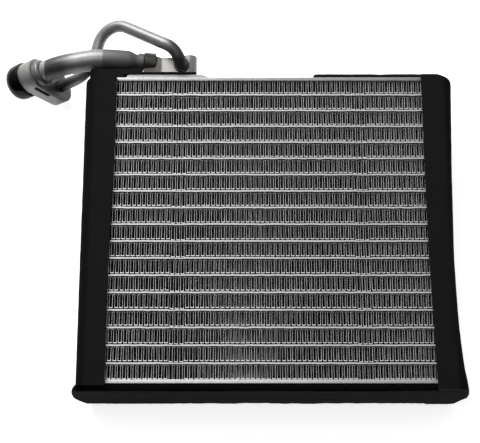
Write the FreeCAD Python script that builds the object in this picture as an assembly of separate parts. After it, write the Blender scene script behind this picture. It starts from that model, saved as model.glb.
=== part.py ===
import FreeCAD, Part
import math
import os

# Automotive evaporator core: plate tubes and folded fins between two end plates, wrapped in foam,
# with a port block, two bent pipes and their flange.
# Millimetres. It lies on its back: +X right, +Y towards the pipes, +Z out of the front air face.
# The origin is in the middle of the core, on the plane of the rear foam flaps.

V = FreeCAD.Vector

# Core
FIN_ROWS = 18
ROW_PITCH = 12.5
CORE_DEPTH = 58.0
TUBE_LENGTH = 256.0
TUBE_THICKNESS = 2.6
PLATE_SHEET = 0.45
SEAM_WIDTH = 1.2
SHOULDER_WIDTH = 0.8
CUP_LENGTH = 10.5
CUP_DEPTH = 50.0
CUP_CORNER = 4.0
CUP_EDGE = 1.5

# Fins
FIN_GAP = 1.0
FIN_DEPTH = 56.0
FIN_WALLS = 40
FIN_SHEET = 0.15

# End plates
END_OVERHANG = 2.0
END_SHEET = 1.6
RIM_HEIGHT = 1.2
RIM_WIDTH = 1.2

# Raised passage on the top end plate
PASSAGE_INSET = 20.0
PASSAGE_LENGTH = 71.0
PASSAGE_BACK = 9.0
PASSAGE_FRONT = 59.5
PASSAGE_HEIGHT = 6.0
PASSAGE_SLOPE = 2.5
PASSAGE_RIGHT_SLOPE = 13.0
PASSAGE_SHEET = 1.2

# Port block
BLOCK_INSET = 14.0
BLOCK_LENGTH = 40.0
BLOCK_BACK = 41.0
BLOCK_DEPTH = 14.0
BLOCK_HEIGHT = 14.4
EYE_LENGTH = 8.5
EYE_RADIUS = 7.4
SHOULDER_LENGTH = 5.0
POST_RADIUS = 5.4
POST_HEIGHT = 17.5
PORT_HEIGHT = 13.8
SOCKET_DEPTH = 7.0
PORT_PITCH = 28.7
LIQUID_PORT_HEIGHT = 8.5

# Suction pipe
SUCTION_RADIUS = 7.9
SUCTION_WALL = 1.2
NECK_RADIUS = 5.6
NECK_LENGTH = 1.5
TAPER_LENGTH = 6.0
BEAD_RADIUS = 6.6
BEAD_LENGTH = 4.5
SUCTION_RUN = 17.5
SUCTION_BEND_REACH = 34.0
SUCTION_BEND_RISE = 0.5
SUCTION_BEND_FORWARD = 5.0

# Liquid pipe
LIQUID_RADIUS = 4.5
LIQUID_WALL = 1.0
BORE_LENGTH = 14.0
LIQUID_COLLAR_RADIUS = 5.8
LIQUID_COLLAR_LENGTH = 1.6
LIQUID_RUN = 28.5
LOOP_REACH = 59.9
LOOP_HEIGHT = 44.7
LOOP_BACK = 12.0
LOOP_FOOT_REACH = 5.9
LOOP_FOOT_HEIGHT = 10.6
LOOP_FOOT_FORWARD = 8.0
LIQUID_STAND_OFF = 6.5

# Share of the shorter run beside a corner that its bend takes up
BEND_SHARE = 0.48

# Pipe flange
FLANGE_TURN = 30.0
FLANGE_TILT = 9.0
FLANGE_REACH = 79.5
FLANGE_DROP = 6.7
FLANGE_BACK = 6.3
PORT_SPACING = 26.0
FLANGE_RADIUS = 12.3
FLANGE_THICKNESS = 10.4
RETAINER_THICKNESS = 1.4
BOSS_RADIUS = 10.2
BOSS_LENGTH = 5.0
BOSS_ROUNDING = 2.2
PIPE_STOP = 3.0
GROOVE_WIDTH = 2.2
GROOVE_DEPTH = 2.5
GROOVE_START = 1.0
GROOVE_LENGTH = 17.0

# Suction cap
CAP_RADIUS = 13.6
CAP_LENGTH = 14.0
CAP_ROUNDING = 5.0
CAP_STEM_LENGTH = 5.0

# Foam
FLAP_THICKNESS = 4.0
SIDE_THICKNESS = 2.0
WRAP_ROUNDING = 6.0
LEFT_CORNER = 6.0
RIGHT_CORNER = 8.5
STRIP_THICKNESS = 5.3
STRIP_CORNER = 4.0
TOP_STRIP_LENGTH = 95.0
TOP_STRIP_THICKNESS = 4.2
TOP_STRIP_TAPER = 8.0
TOP_STRIP_INSET = 3.0
PAD_THICKNESS = 2.3
SOFT_CLEARANCE = 0.3

# Each wrap as stations from its lower to its upper end: height, how far it stands out past the tubes'
# ends, and how far its flaps lap over them
LEFT_WRAP = [(-115.5, 6.1, 14.2), (-40.0, 6.6, 13.8), (45.0, 7.0, 15.6), (110.3, 7.4, 15.6)]
RIGHT_WRAP = [(-118.8, 8.0, 14.2), (-104.0, 4.9, 14.5), (-70.0, 2.7, 15.1), (-25.0, 2.1, 16.1),
              (40.0, 3.9, 16.2), (114.0, 7.2, 15.6)]

# Places that follow from the sizes above
core_rear = FLAP_THICKNESS
core_front = core_rear + CORE_DEPTH
core_middle = core_rear + CORE_DEPTH / 2
wrap_front = core_front + FLAP_THICKNESS
tube_end = TUBE_LENGTH / 2
fin_end = tube_end - CUP_EDGE - CUP_LENGTH - FIN_GAP
plate_end = tube_end + END_OVERHANG
top_line = FIN_ROWS * ROW_PITCH / 2
half_tube = TUBE_THICKNESS / 2
plate_floor = top_line - half_tube + END_SHEET
rim_top = plate_floor + RIM_HEIGHT
passage_left = PASSAGE_INSET - tube_end
passage_right = passage_left + PASSAGE_LENGTH
passage_top = plate_floor + PASSAGE_HEIGHT
block_left = passage_left + BLOCK_INSET
block_right = block_left + BLOCK_LENGTH
block_front = BLOCK_BACK + BLOCK_DEPTH
top_strip_left = tube_end - TOP_STRIP_LENGTH
suction_port = V(block_left, passage_top + PORT_HEIGHT, BLOCK_BACK + BLOCK_DEPTH / 2)
liquid_port = V(block_left + PORT_PITCH, passage_top + LIQUID_PORT_HEIGHT, block_front)

suction_bend = suction_port + V(-SUCTION_BEND_REACH, SUCTION_BEND_RISE, SUCTION_BEND_FORWARD)
loop_top = liquid_port + V(-LOOP_REACH, LOOP_HEIGHT, -LOOP_BACK)
loop_foot = liquid_port + V(-LOOP_FOOT_REACH, LOOP_FOOT_HEIGHT, LOOP_FOOT_FORWARD)
flange_seat = suction_port - V(FLANGE_REACH, FLANGE_DROP, FLANGE_BACK)

# The flange's normal on the valve side, its long axis from the suction to the liquid port, and its upper side
turn = math.radians(FLANGE_TURN)
tilt = math.radians(FLANGE_TILT)
outward = V(-math.cos(turn) * math.cos(tilt), -math.sin(tilt), -math.sin(turn) * math.cos(tilt))
along = V(math.sin(turn), 0, -math.cos(turn))
upper_side = along.cross(outward)
liquid_seat = flange_seat + along * PORT_SPACING


def prism(points, direction):
    """A closed flat outline pushed along a direction."""
    return Part.Face(Part.makePolygon(points + points[:1])).extrude(direction)


def box(x0, x1, y0, y1, z0, z1):
    return Part.makeBox(x1 - x0, y1 - y0, z1 - z0, V(x0, y0, z0))


def frustum(base, top):
    """A solid with flat sides between two outlines of four corners."""
    sides = [[base[k - 1], base[k], top[k], top[k - 1]] for k in range(4)]
    faces = [Part.Face(Part.makePolygon(side + side[:1])) for side in sides + [base, top]]
    return Part.makeSolid(Part.makeShell(faces))


def turned(profile, start, axis):
    """An outline of (distance along the axis, radius) turned about the axis from a start point."""
    out = axis.cross(V(0, 0, 1)).normalize()
    points = [start + axis * distance + out * radius for distance, radius in profile]
    return Part.Face(Part.makePolygon(points + points[:1])).revolve(start, axis, 360)


def cup_centres():
    reach = tube_end - CUP_EDGE - CUP_LENGTH / 2
    return (-reach, reach)


def cup(x, y0, y1):
    """A drawn cup, a prism along Y with cut corners."""
    half_x = CUP_LENGTH / 2
    half_z = CUP_DEPTH / 2
    outline = []
    for side_x, side_z in ((1, 1), (-1, 1), (-1, -1), (1, -1)):
        on_side = V(x + side_x * half_x, y0, core_middle + side_z * (half_z - CUP_CORNER))
        on_end = V(x + side_x * (half_x - CUP_CORNER), y0, core_middle + side_z * half_z)
        outline += [on_side, on_end] if side_x == side_z else [on_end, on_side]
    return prism(outline, V(0, y1 - y0, 0))


def plate_tube(y):
    """Two stamped plates brazed at their rims, with a drawn cup at each end; closed, so solid inside."""
    shoulder = SEAM_WIDTH + SHOULDER_WIDTH
    half = [(core_rear, PLATE_SHEET), (core_rear + SEAM_WIDTH, PLATE_SHEET),
            (core_rear + shoulder, half_tube), (core_front - shoulder, half_tube),
            (core_front - SEAM_WIDTH, PLATE_SHEET), (core_front, PLATE_SHEET)]
    section = half + [(z, -height) for z, height in reversed(half)]
    body = prism([V(-tube_end, y + height, z) for z, height in section], V(TUBE_LENGTH, 0, 0))
    return body.fuse([cup(x, y - ROW_PITCH / 2, y + ROW_PITCH / 2) for x in cup_centres()])


def fin_row(y):
    """A strip folded up and down between two tubes: seen along Z, a zigzag of even thickness."""
    height = ROW_PITCH - TUBE_THICKNESS
    step = 2 * fin_end / FIN_WALLS
    fold = FIN_SHEET * math.hypot(step, height) / step
    y0 = y - height / 2
    z = core_middle - FIN_DEPTH / 2
    upper = []
    lower = []
    for k in range(FIN_WALLS + 1):
        x = k * step - fin_end
        crest = k % 2
        upper.append(V(x, y0 + (height if crest else fold), z))
        lower.append(V(x, y0 + (height - fold if crest else 0), z))
    return prism(upper + lower[::-1], V(0, 0, FIN_DEPTH))


def end_plate(side):
    """A stamped tray with its rim turned outwards, and half a cup under each end."""
    rim = RIM_WIDTH
    inner = top_line - half_tube
    tray = box(-plate_end, plate_end, inner, rim_top, core_rear, core_front)
    inside = plate_end - rim
    tray = tray.cut(box(-inside, inside, plate_floor, rim_top, core_rear + rim, core_front - rim))
    tray = tray.fuse([cup(x, top_line - ROW_PITCH / 2, inner) for x in cup_centres()])
    return tray if side > 0 else tray.mirror(V(0, 0, 0), V(0, 1, 0))


def passage_cover():
    """The raised stamping on the top end plate that leads from the tanks to the port block."""
    def corners(inset, y, spread):
        x0 = passage_left + inset + spread * PASSAGE_SLOPE
        x1 = passage_right - inset - spread * PASSAGE_RIGHT_SLOPE
        z0 = PASSAGE_BACK + inset + spread * PASSAGE_SLOPE
        z1 = PASSAGE_FRONT - inset - spread * PASSAGE_SLOPE
        return [V(x0, y, z0), V(x1, y, z0), V(x1, y, z1), V(x0, y, z1)]
    inner_top = passage_top - PASSAGE_SHEET
    skin = frustum(corners(0, plate_floor, 0), corners(0, passage_top, 1))
    hollow = frustum(corners(PASSAGE_SHEET, plate_floor, 0), corners(PASSAGE_SHEET, inner_top, 1))
    return skin.cut(hollow)


def port_block():
    """A machined block: an eye for the suction pipe, a sloped shoulder, a bar and a round post."""
    eye_end = block_left + EYE_LENGTH
    post_x = block_right - POST_RADIUS
    bar_top = passage_top + BLOCK_HEIGHT
    outline = [(block_left, passage_top), (post_x, passage_top), (post_x, bar_top),
               (eye_end + SHOULDER_LENGTH, bar_top), (eye_end, suction_port.y + EYE_RADIUS / 2),
               (block_left, suction_port.y)]
    block = prism([V(x, y, BLOCK_BACK) for x, y in outline], V(0, 0, BLOCK_DEPTH))
    axis = (suction_port - suction_bend).normalize()
    eye = Part.makeCylinder(EYE_RADIUS, EYE_LENGTH, suction_port, axis)
    spot_face = Part.makeCylinder(EYE_RADIUS, EYE_LENGTH, suction_port, axis * -1)
    foot = V(post_x, passage_top, suction_port.z)
    post = Part.makeCylinder(POST_RADIUS, POST_HEIGHT, foot, V(0, 1, 0))
    sockets = [Part.makeCylinder(NECK_RADIUS, SOCKET_DEPTH, suction_port, axis),
               Part.makeCylinder(LIQUID_RADIUS, SOCKET_DEPTH, liquid_port, V(0, 0, -1))]
    return block.fuse([eye, post]).cut([spot_face] + sockets)


def bent_rod(points, radius):
    """A round rod through straight runs joined by bends, each as wide as its shorter run allows."""
    pieces = []
    start = points[0]
    for before, corner, after in zip(points, points[1:], points[2:]):
        back = before - corner
        ahead = after - corner
        reach = BEND_SHARE * min(back.Length, ahead.Length)
        half_angle = back.getAngle(ahead) / 2
        back.normalize()
        ahead.normalize()
        bend_start = corner + back * reach
        to_centre = (back + ahead).normalize() * (reach / math.cos(half_angle))
        disc = Part.Face(Part.Wire(Part.makeCircle(radius, start, back)))
        pieces.append(disc.extrude(bend_start - start))
        disc = Part.Face(Part.Wire(Part.makeCircle(radius, bend_start, back)))
        pieces.append(disc.revolve(corner + to_centre, ahead.cross(back), 180 - math.degrees(2 * half_angle)))
        start = corner + ahead * reach
    disc = Part.Face(Part.Wire(Part.makeCircle(radius, start, points[-1] - start)))
    pieces.append(disc.extrude(points[-1] - start))
    return pieces[0].fuse(pieces[1:])


def suction_pipe():
    """The thick pipe: from the flange round two bends to a taper, a bead and the block's socket."""
    seat = flange_seat + outward * (RETAINER_THICKNESS + PIPE_STOP)
    axis = (suction_port - suction_bend).normalize()
    bead = TAPER_LENGTH + NECK_LENGTH
    bead_end = bead + BEAD_LENGTH
    end = bead_end + SOCKET_DEPTH
    taper_start = suction_port - axis * bead_end
    body = bent_rod([seat, flange_seat - outward * SUCTION_RUN, suction_bend, taper_start], SUCTION_RADIUS)
    profile = [(0, 0), (0, SUCTION_RADIUS), (TAPER_LENGTH, NECK_RADIUS), (bead, NECK_RADIUS),
               (bead, BEAD_RADIUS), (bead_end, BEAD_RADIUS), (bead_end, NECK_RADIUS),
               (end, NECK_RADIUS), (end, 0)]
    body = body.fuse(turned(profile, taper_start, axis))
    bores = [Part.makeCylinder(SUCTION_RADIUS - SUCTION_WALL, BORE_LENGTH, seat, outward * -1),
             Part.makeCylinder(NECK_RADIUS - SUCTION_WALL, BORE_LENGTH, taper_start + axis * end, axis * -1)]
    return body.cut(bores)


def liquid_pipe():
    """The thin pipe: from the flange behind the thick pipe, over it and down into the block."""
    seat = liquid_seat + outward * (RETAINER_THICKNESS + PIPE_STOP)
    corner = liquid_port + V(0, 0, LIQUID_STAND_OFF)
    entry = liquid_port - V(0, 0, SOCKET_DEPTH)
    route = [seat, liquid_seat - outward * LIQUID_RUN, loop_top, loop_foot, corner, entry]
    collar = Part.makeCylinder(LIQUID_COLLAR_RADIUS, LIQUID_COLLAR_LENGTH, liquid_port, V(0, 0, 1))
    bore = Part.makeCylinder(LIQUID_RADIUS - LIQUID_WALL, BORE_LENGTH, seat, outward * -1)
    return bent_rod(route, LIQUID_RADIUS).fuse(collar).cut(bore)


def racetrack(centre, radius):
    """A flat outline round both ports: two half circles joined by straight sides."""
    across = upper_side * radius
    far = centre + along * PORT_SPACING
    edges = [Part.LineSegment(centre + across, far + across),
             Part.Arc(far + across, far + along * radius, far - across),
             Part.LineSegment(far - across, centre - across),
             Part.Arc(centre - across, centre - along * radius, centre + across)]
    return Part.Face(Part.Wire([edge.toShape() for edge in edges]))


def flange_block():
    """The oblong block that both pipes end in, with a milled groove along its lower side."""
    start = flange_seat + outward * RETAINER_THICKNESS
    port = start + along * PORT_SPACING
    depth = outward * FLANGE_THICKNESS
    block = racetrack(start, FLANGE_RADIUS).extrude(depth)
    cuts = []
    for centre, radius, wall in ((start, SUCTION_RADIUS, SUCTION_WALL), (port, LIQUID_RADIUS, LIQUID_WALL)):
        cuts.append(Part.makeCylinder(radius, PIPE_STOP, centre, outward))
        cuts.append(Part.makeCylinder(radius - wall, FLANGE_THICKNESS, centre, outward))
    groove = start + along * GROOVE_START - upper_side * FLANGE_RADIUS
    corners = [groove, groove + along * GROOVE_LENGTH,
               groove + along * GROOVE_LENGTH + outward * GROOVE_WIDTH, groove + outward * GROOVE_WIDTH]
    cuts.append(prism(corners, upper_side * GROOVE_DEPTH))
    return block.cut(cuts)


def retainer_plate():
    """The thin plate on the pipe side of the flange, with a boss round the thick pipe."""
    plate = racetrack(flange_seat, FLANGE_RADIUS).extrude(outward * RETAINER_THICKNESS)
    foot = flange_seat - outward * BOSS_LENGTH
    boss = Part.makeCylinder(BOSS_RADIUS, BOSS_LENGTH, foot, outward)
    rim = min(boss.Edges, key=lambda edge: (edge.CenterOfMass - foot).Length)
    plate = plate.fuse(boss.makeFillet(BOSS_ROUNDING, [rim]))
    return plate.cut([Part.makeCylinder(SUCTION_RADIUS, BOSS_LENGTH + RETAINER_THICKNESS, foot, outward),
                      Part.makeCylinder(LIQUID_RADIUS, RETAINER_THICKNESS, liquid_seat, outward)])


def suction_cap():
    """The moulded plug that closes the suction port: a domed head on a stem."""
    face = flange_seat + outward * (RETAINER_THICKNESS + FLANGE_THICKNESS)
    stem = SUCTION_RADIUS - SUCTION_WALL
    shoulder = CAP_LENGTH - CAP_ROUNDING
    profile = [(-CAP_STEM_LENGTH, 0), (-CAP_STEM_LENGTH, stem), (0, stem), (0, CAP_RADIUS),
               (shoulder, CAP_RADIUS), (CAP_LENGTH, CAP_RADIUS - CAP_ROUNDING), (CAP_LENGTH, 0)]
    return turned(profile, face, outward)


def wrap(side, stations, corner):
    """A foam sheet folded round a tank, with a flap on the front face and one on the rear."""
    def line(reach, z):
        return [V(side * (tube_end + reach(out, lap)), y, z) for y, out, lap in stations]
    sheet = prism(line(lambda out, lap: out, 0) + line(lambda out, lap: -lap, 0)[::-1], V(0, 0, wrap_front))
    folds = []
    for edge in sheet.Edges:
        start, end = edge.Vertexes
        if min(abs(start.X), abs(end.X)) > tube_end and start.Z == end.Z:
            folds.append(edge)
    pocket = prism(line(lambda out, lap: out - SIDE_THICKNESS, core_rear)
                   + line(lambda out, lap: -tube_end, core_rear)[::-1], V(0, 0, CORE_DEPTH))
    top, out = stations[-1][:2]
    centre = V(side * (tube_end + out - corner), top - corner, 0)
    far = centre + V(side * corner, corner, 0)
    square = box(min(centre.x, far.x), max(centre.x, far.x), centre.y, far.y, 0, wrap_front)
    rounded_off = square.cut(Part.makeCylinder(corner, wrap_front, centre))
    return sheet.makeFillet(WRAP_ROUNDING, folds).cut([pocket, rounded_off])


def bottom_strip(wraps):
    """A foam strip under the bottom end plate: its left end laps the wrap, its right end is tucked in."""
    left = -tube_end - LEFT_WRAP[0][1]
    right = tube_end + RIGHT_WRAP[0][1] - SIDE_THICKNESS - SOFT_CLEARANCE
    outline = [(left + STRIP_CORNER, core_front), (left, core_front - STRIP_CORNER),
               (left, core_rear + STRIP_CORNER), (left + STRIP_CORNER, core_rear),
               (right, core_rear), (right, core_front)]
    strip = prism([V(x, -rim_top, z) for x, z in outline], V(0, -STRIP_THICKNESS, 0))
    return strip.cut(wraps)


def top_strip():
    """A foam strip on the right half of the top end plate, tapered at its left end."""
    y1 = plate_floor + TOP_STRIP_THICKNESS
    outline = [(top_strip_left, plate_floor), (tube_end, plate_floor), (tube_end, y1),
               (top_strip_left + TOP_STRIP_TAPER, y1)]
    start = core_rear + TOP_STRIP_INSET
    return prism([V(x, y, start) for x, y in outline], V(0, 0, CORE_DEPTH - 2 * TOP_STRIP_INSET))


def top_pad():
    """A foam pad that climbs from the top end plate onto the passage and runs in front of the block."""
    rear = PASSAGE_BACK + PASSAGE_SLOPE
    front = PASSAGE_FRONT - PASSAGE_SLOPE
    pad_top = passage_top + PAD_THICKNESS
    foot = passage_left - SOFT_CLEARANCE
    left = block_left - SOFT_CLEARANCE
    outline = [(-tube_end, plate_floor), (foot, plate_floor), (foot, passage_top), (left, passage_top),
               (left, pad_top), (passage_left, pad_top), (-tube_end, passage_top)]
    pad = prism([V(x, y, rear) for x, y in outline], V(0, 0, front - rear))
    lip = box(left, block_right, passage_top, pad_top, block_front + SOFT_CLEARANCE, front)
    return pad.fuse(lip)


os.makedirs("parts", exist_ok=True)
pieces = {f"fin_row_{row + 1:02d}": fin_row(top_line - (row + 0.5) * ROW_PITCH) for row in range(FIN_ROWS)}
for row in range(1, FIN_ROWS):
    pieces[f"plate_tube_{row:02d}"] = plate_tube(top_line - row * ROW_PITCH)
pieces["top_end_plate"] = end_plate(1)
pieces["bottom_end_plate"] = end_plate(-1)
pieces["passage_cover"] = passage_cover()
pieces["port_block"] = port_block()
pieces["suction_pipe"] = suction_pipe()
pieces["liquid_pipe"] = liquid_pipe()
pieces["flange_block"] = flange_block()
pieces["retainer_plate"] = retainer_plate()
pieces["suction_cap"] = suction_cap()
pieces["left_foam_wrap"] = wrap(-1, LEFT_WRAP, LEFT_CORNER)
pieces["right_foam_wrap"] = wrap(1, RIGHT_WRAP, RIGHT_CORNER)
pieces["bottom_foam_strip"] = bottom_strip([pieces["left_foam_wrap"], pieces["right_foam_wrap"]])
pieces["top_foam_strip"] = top_strip()
pieces["top_foam_pad"] = top_pad()
for name, shape in pieces.items():
    shape.removeSplitter().exportStep(f"parts/{name}.step")
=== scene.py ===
# %% [markdown]
# # An evaporator core from a car's air unit
# The object lies on its back, and the camera looks down at one of its two air faces: a stack of folded
# aluminium fins between flat tubes, with black foam round both tanks and two bent pipes at the top.
# The frame holds every piece at its real size. This lesson gives each piece its fine form and its finish.

# %% The frame
import bmesh
import bpy
import math
import random
from mathutils import Matrix, Vector, noise

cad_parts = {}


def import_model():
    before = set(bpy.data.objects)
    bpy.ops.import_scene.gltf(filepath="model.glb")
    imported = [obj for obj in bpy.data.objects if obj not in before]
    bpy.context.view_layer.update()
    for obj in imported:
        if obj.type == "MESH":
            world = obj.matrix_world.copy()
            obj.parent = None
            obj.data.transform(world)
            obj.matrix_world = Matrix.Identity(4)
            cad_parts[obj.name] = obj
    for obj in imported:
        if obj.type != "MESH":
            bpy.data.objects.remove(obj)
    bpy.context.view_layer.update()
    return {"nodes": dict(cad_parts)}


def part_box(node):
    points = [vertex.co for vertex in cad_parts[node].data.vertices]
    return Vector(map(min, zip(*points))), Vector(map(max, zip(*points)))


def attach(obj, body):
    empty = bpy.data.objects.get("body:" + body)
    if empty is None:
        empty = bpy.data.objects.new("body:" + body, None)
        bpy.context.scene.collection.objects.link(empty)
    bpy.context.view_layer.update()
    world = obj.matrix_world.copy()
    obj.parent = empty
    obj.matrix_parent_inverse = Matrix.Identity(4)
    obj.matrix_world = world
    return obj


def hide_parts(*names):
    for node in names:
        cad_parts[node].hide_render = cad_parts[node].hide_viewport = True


MM = 0.001
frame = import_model()
print("pieces in the frame:", len(frame["nodes"]))

# %% [markdown]
# ## Small helpers
# An operator works on whatever is selected, so each step first selects one piece, and then the points,
# edges or faces that it means, by their place. NEARLY says how well a direction or a length has to fit a
# test, and TOUCH how well a place has to.

# %% Selecting
KINDS = {"VERT": "verts", "EDGE": "edges", "FACE": "faces"}
NEARLY = 0.9
TOUCH = 0.01 * MM
UP = Vector((0, 0, 1))


def only(piece):
    """Selects one piece and makes it active."""
    bpy.ops.object.select_all(action="DESELECT")
    piece.select_set(True)
    bpy.context.view_layer.objects.active = piece


def middle(part):
    """The place of a point, or the middle of an edge or face."""
    if isinstance(part, bmesh.types.BMVert):
        return part.co
    return sum((point.co for point in part.verts), Vector()) / len(part.verts)


def choose(piece, kind, test):
    """Opens a piece for editing and selects the points, edges or faces that pass a test."""
    if piece.mode != "EDIT":
        only(piece)
        bpy.ops.object.mode_set(mode="EDIT")
    bpy.ops.mesh.select_mode(type=kind)
    bpy.ops.mesh.select_all(action="DESELECT")
    shape = bmesh.from_edit_mesh(piece.data)
    for part in getattr(shape, KINDS[kind]):
        if test(part):
            part.select_set(True)
    shape.select_flush_mode()
    bmesh.update_edit_mesh(piece.data)


def faces_towards(direction):
    """A test for faces that look in a direction."""
    return lambda face: face.normal.dot(Vector(direction)) > NEARLY


def runs_along(edge, axis):
    """Whether an edge runs along one of the axes x, y and z."""
    line = edge.verts[0].co - edge.verts[1].co
    return abs(getattr(line.normalized(), axis)) > NEARLY


def short(edge):
    """Whether an edge is one of the many short ones of a round outline."""
    return edge.calc_length() < 3 * MM


# %% Making and finishing
def apply(piece, kind, **settings):
    """Adds one modifier to a piece and applies it."""
    leave(piece)
    modifier = piece.modifiers.new(kind.lower(), kind)
    for name, value in settings.items():
        setattr(modifier, name, value)
    bpy.ops.object.modifier_apply(modifier=modifier.name)


def leave(piece):
    """Leaves edit mode with the piece selected."""
    if bpy.context.mode != "OBJECT":
        bpy.ops.object.mode_set(mode="OBJECT")
    only(piece)


def block(name, low, high):
    """A box between two corners, ready to be shaped."""
    low, high = Vector(low), Vector(high)
    bpy.ops.mesh.primitive_cube_add(size=1, location=(low + high) / 2)
    return named(name, scale=high - low)


def named(name, scale=(1, 1, 1)):
    """Names the new primitive and puts its place into its mesh."""
    piece = bpy.context.active_object
    piece.name = piece.data.name = name
    piece.scale = scale
    only(piece)
    bpy.ops.object.transform_apply(location=True, rotation=True, scale=True)
    return piece


def merge(piece, other, how="UNION"):
    """Joins a second solid to a piece, or cuts it out."""
    apply(piece, "BOOLEAN", object=other, operation=how, solver="EXACT")
    bpy.data.objects.remove(other)


def soften(piece, width, segments=2, angle=40):
    """Rounds every edge that turns by more than an angle."""
    apply(piece, "BEVEL", width=width, segments=segments, angle_limit=math.radians(angle),
          limit_method="ANGLE")


def own_copy(piece, name):
    """A copy with a mesh of its own."""
    copy = piece.copy()
    copy.data = piece.data.copy()
    copy.name = copy.data.name = name
    bpy.context.scene.collection.objects.link(copy)
    return copy


def done(piece, finish, slot, *nodes, angle=35):
    """Gives a piece its finish, its body and the nodes that it stands for."""
    leave(piece)
    bpy.ops.object.transform_apply(location=True, rotation=True, scale=True)
    bpy.ops.object.shade_smooth_by_angle(angle=math.radians(angle))
    piece.data.materials.clear()
    piece.data.materials.append(finish.material)
    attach(piece, "root")
    if nodes:
        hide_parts(*nodes)
    print(f"{piece.name}: {len(piece.data.polygons)} faces")


# %% [markdown]
# ## Shader maths as sums
# A finish is a network of nodes. Written as sums in Python it stays readable: a Value wraps a socket, and
# each operator adds the Math node that it stands for.

# %% Values and finishes
class Value:
    """A socket of a finish that can stand in sums."""

    def __init__(self, finish, socket):
        self.finish = finish
        self.socket = socket

    def maths(self, operation, first, second):
        """A Math node on two values."""
        return self.finish.node("ShaderNodeMath", {"operation": operation}, {0: first, 1: second})

    def __add__(self, other):
        return self.maths("ADD", self, other)

    def __sub__(self, other):
        return self.maths("SUBTRACT", self, other)

    def __rsub__(self, other):
        return self.maths("SUBTRACT", other, self)

    def __mul__(self, other):
        return self.maths("MULTIPLY", self, other)

    def above(self, limit):
        return self.maths("GREATER_THAN", self, limit)

    def below(self, limit):
        return self.maths("LESS_THAN", self, limit)

    __radd__ = __add__
    __rmul__ = __mul__


class Network:
    """The nodes of one material, or of the world."""

    def __init__(self, tree):
        self.tree = tree

    def node(self, kind, settings=None, inputs=None, output=0):
        """Adds a node, with its settings first and then the values or links of its sockets."""
        made = self.tree.nodes.new(kind)
        for name, value in (settings or {}).items():
            if name == "stops":
                for stop, (position, level) in zip(ramp_stops(made, len(value)), value):
                    stop.position = position
                    stop.color = grey(level)
            else:
                setattr(made, name, value)
        for name, value in (inputs or {}).items():
            self.feed(made.inputs[name], value)
        return Value(self, made.outputs[output])

    def feed(self, socket, value):
        if isinstance(value, Value):
            self.tree.links.new(value.socket, socket)
        else:
            socket.default_value = value

    def blend(self, share, first, second):
        """A mix of two colours."""
        return self.node("ShaderNodeMix", {"data_type": "RGBA"},
                         {0: share, 6: first, 7: second}, output=2)


class Finish(Network):
    """One procedural material, made from object coordinates."""

    def __init__(self, name, **fixed):
        self.material = bpy.data.materials.new(name)
        self.material.use_nodes = True
        super().__init__(self.material.node_tree)
        self.shader = self.tree.nodes["Principled BSDF"]
        self.place = self.node("ShaderNodeTexCoord", output="Object")
        for word, value in fixed.items():
            socket = word.replace("_", " ").title().replace("Ior", "IOR")
            self.shader.inputs[socket].default_value = value
        print("finish:", name)

    def give(self, name, value):
        """Feeds one socket of the shader."""
        self.feed(self.shader.inputs[name], value)

    def noise(self, per_metre, detail=3, stretch=(1, 1, 1)):
        """Cloudy noise between 0 and 1, with so many blobs to a metre, stretched along the axes."""
        place = self.node("ShaderNodeMapping", None, {"Vector": self.place, "Scale": stretch})
        return self.node("ShaderNodeTexNoise", None,
                         {"Vector": place, "Scale": per_metre, "Detail": detail, "Roughness": 0.6})

    def along(self, axis):
        """The place along one axis."""
        return self.node("ShaderNodeSeparateXYZ", None, {0: self.place}, output=axis)

    def ease(self, axis, start, end):
        """Goes smoothly from 0 at one place along an axis to 1 at another."""
        return self.node("ShaderNodeMapRange", {"interpolation_type": "SMOOTHSTEP"},
                         {0: self.along(axis), 1: start, 2: end})

    def bumps(self, height, depth, strength=1.0):
        """Feeds a bump of so many metres into the shader's normal."""
        self.give("Normal", self.node("ShaderNodeBump", None,
                                      {"Height": height, "Distance": depth, "Strength": strength}))


def ramp_stops(node, count):
    """The stops of a colour ramp, with as many as needed."""
    stops = node.color_ramp.elements
    while len(stops) < count:
        stops.new(1.0)
    return stops


def grey(level, warmth=0.0):
    """A colour near grey, warmer above zero and bluer below it."""
    return (level * (1 + warmth), level, level * (1 - warmth), 1)


# %% [markdown]
# ## The metals
# All the metal is aluminium, but each piece reached the core by another way: the fins are folded from thin
# sheet, the plates are stamped and dulled by brazing, the pipes are drawn, and the block and flange are
# machined. One colour for all would look like paint, so each has its own tone, roughness and grain.
# Between the folds the light gets lost, which a dark tone on the walls stands for: painted shade. The cut
# front edges and the front of each lower fold stay bright: a painted highlight.

# %% Fins
FIN_EDGE = 60.7 * MM
ROW_PITCH = 12.5 * MM
FIRST_CREST = 101 * MM
# How high above each lower fold the painted highlight on the front edges reaches.
CREST_GLINT = 1.2 * MM
STREAK_CONTRAST = 2.6
STREAK_SHIFT = 0.8
STREAK_SHARE = 0.6


def fin_metal():
    """Walls in painted shade that differs from fold to fold, front edges with a painted highlight, and a
    brighter painted highlight on the front of each lower fold.
    """
    finish = Finish("fin_metal", metallic=0.6, roughness=0.45)
    stains = finish.noise(60)
    streaks = finish.noise(1500, 2, (1, 0.05, 0.3))
    uneven = streaks * STREAK_CONTRAST - STREAK_SHIFT
    tone = stains * (1 - STREAK_SHARE) + uneven * STREAK_SHARE
    # Painted shade: the walls are dark for the light that gets lost between the folds.
    walls = finish.blend(tone, grey(0.02), grey(0.3, 0.01))
    # Painted highlight: the cut front edges are bright.
    edges = finish.blend(uneven, grey(0.34), grey(1.0))
    in_front = finish.along("Z").above(FIN_EDGE)
    height = finish.node("ShaderNodeMath", {"operation": "FLOORED_MODULO"},
                         {0: finish.along("Y") - FIRST_CREST, 1: ROW_PITCH})
    sheet = finish.blend(in_front, walls, edges)
    # Painted highlight: a bright line on the front edges just above each lower fold.
    finish.give("Base Color", finish.blend(in_front * height.below(CREST_GLINT), sheet, grey(0.72)))
    return finish


fin_finish = fin_metal()


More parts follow.
